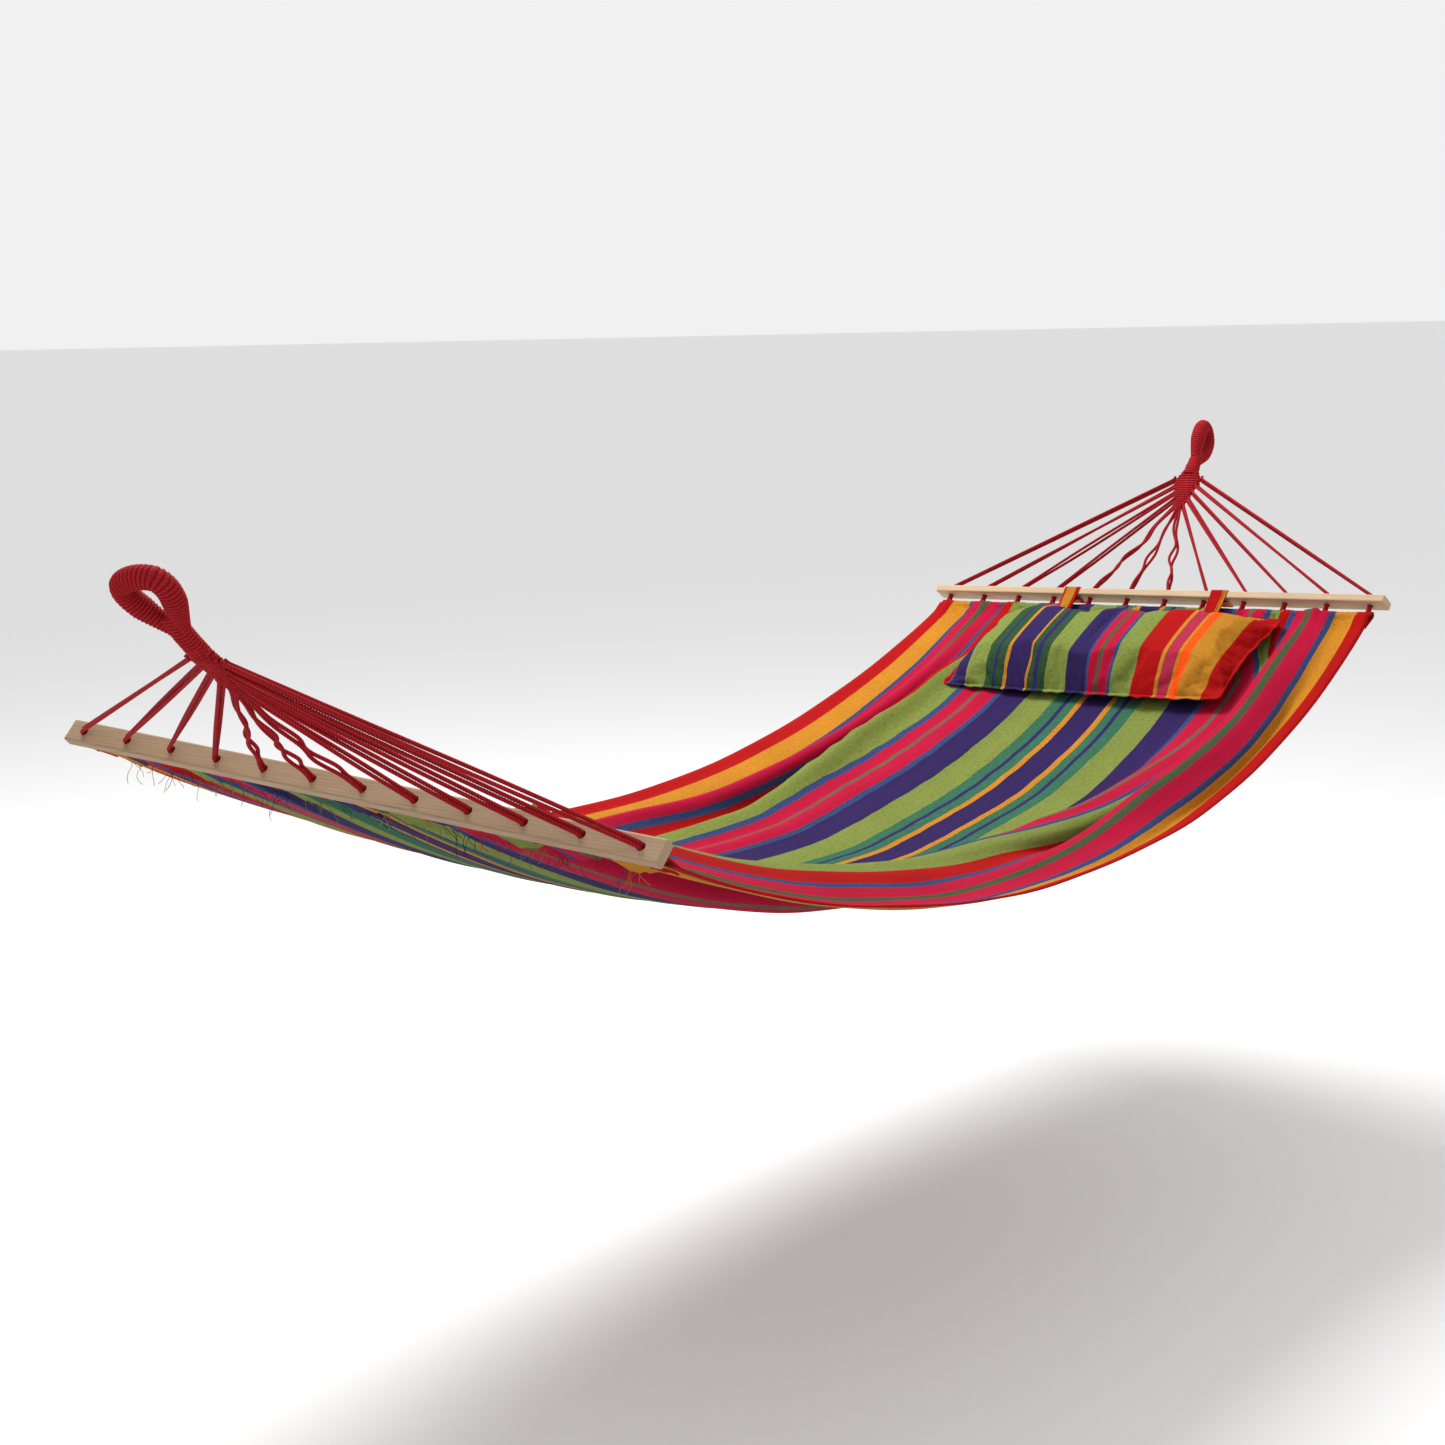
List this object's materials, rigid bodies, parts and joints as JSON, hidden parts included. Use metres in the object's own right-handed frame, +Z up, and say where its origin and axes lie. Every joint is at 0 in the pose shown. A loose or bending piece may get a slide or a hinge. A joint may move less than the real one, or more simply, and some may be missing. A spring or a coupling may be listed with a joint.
{
  "type": "hammock",
  "caption": "Striped cloth hammock stretched between two drilled wooden spreader bars, with red cord harnesses, wrapped hanging eyes and a strapped-on striped pillow.",
  "frame": {"origin": "midway between the two hanging eyes, at the height where they bear on their hooks", "axes": "+X from the foot end to the head end (the end with the pillow), +Y to the left of someone looking towards the head end, +Z up"},
  "size_m": [2.7017, 0.9988, 0.6594],
  "materials": {
    "spreader_wood": "sanded, unvarnished pale wood",
    "red_cord": "matt laid cotton cord, dyed red",
    "striped_cloth": "matt woven cotton, lengthwise stripes in red, yellow, pink, blue, green and purple",
    "pillow_cloth": "matt woven cotton, same stripes as the bed",
    "strap_cloth": "matt woven cotton strap, yellow and red"
  },
  "bodies": {
    "hanging_eyes": {"foot_eye": "red_cord", "head_eye": "red_cord"},
    "hammock": {"bed_cloth": "striped_cloth", "foot_bar": "spreader_wood", "head_bar": "spreader_wood", "foot_clew_weave": "red_cord", "head_clew_weave": "red_cord", "foot_hem_cord": "red_cord", "head_hem_cord": "red_cord", "foot_cord_01": "red_cord", "foot_cord_02": "red_cord", "foot_cord_03": "red_cord", "foot_cord_04": "red_cord", "foot_cord_05": "red_cord", "foot_cord_06": "red_cord", "foot_cord_07": "red_cord", "foot_cord_08": "red_cord", "foot_cord_09": "red_cord", "foot_cord_10": "red_cord", "foot_cord_11": "red_cord", "foot_cord_12": "red_cord", "head_cord_01": "red_cord", "head_cord_02": "red_cord", "head_cord_03": "red_cord", "head_cord_04": "red_cord", "head_cord_05": "red_cord", "head_cord_06": "red_cord", "head_cord_07": "red_cord", "head_cord_08": "red_cord", "head_cord_09": "red_cord", "head_cord_10": "red_cord", "head_cord_11": "red_cord", "head_cord_12": "red_cord"},
    "pillow_straps": {"pillow_strap_1": "strap_cloth", "pillow_strap_2": "strap_cloth"},
    "pillow": {"pillow": "pillow_cloth"}
  },
  "joints": [
    {"name": "harness_swing", "type": "hinge", "parent": "hanging_eyes", "child": "hammock", "pos_m": [-1.264, 0, -0.078], "axis": [0.9999, 0, 0.0132], "range_deg": [-40, 40]},
    {"name": "pillow_slide", "type": "slide", "parent": "hammock", "child": "pillow_straps", "axis": [0.0679, 0.9965, -0.049], "range_m": [-0.015, 0.015]},
    {"name": "pillow_flip", "type": "hinge", "parent": "pillow_straps", "child": "pillow", "pos_m": [1.00106, 0.00215, -0.3091], "axis": [0.0679, 0.9965, -0.049], "range_deg": [0, 85]}
  ]
}
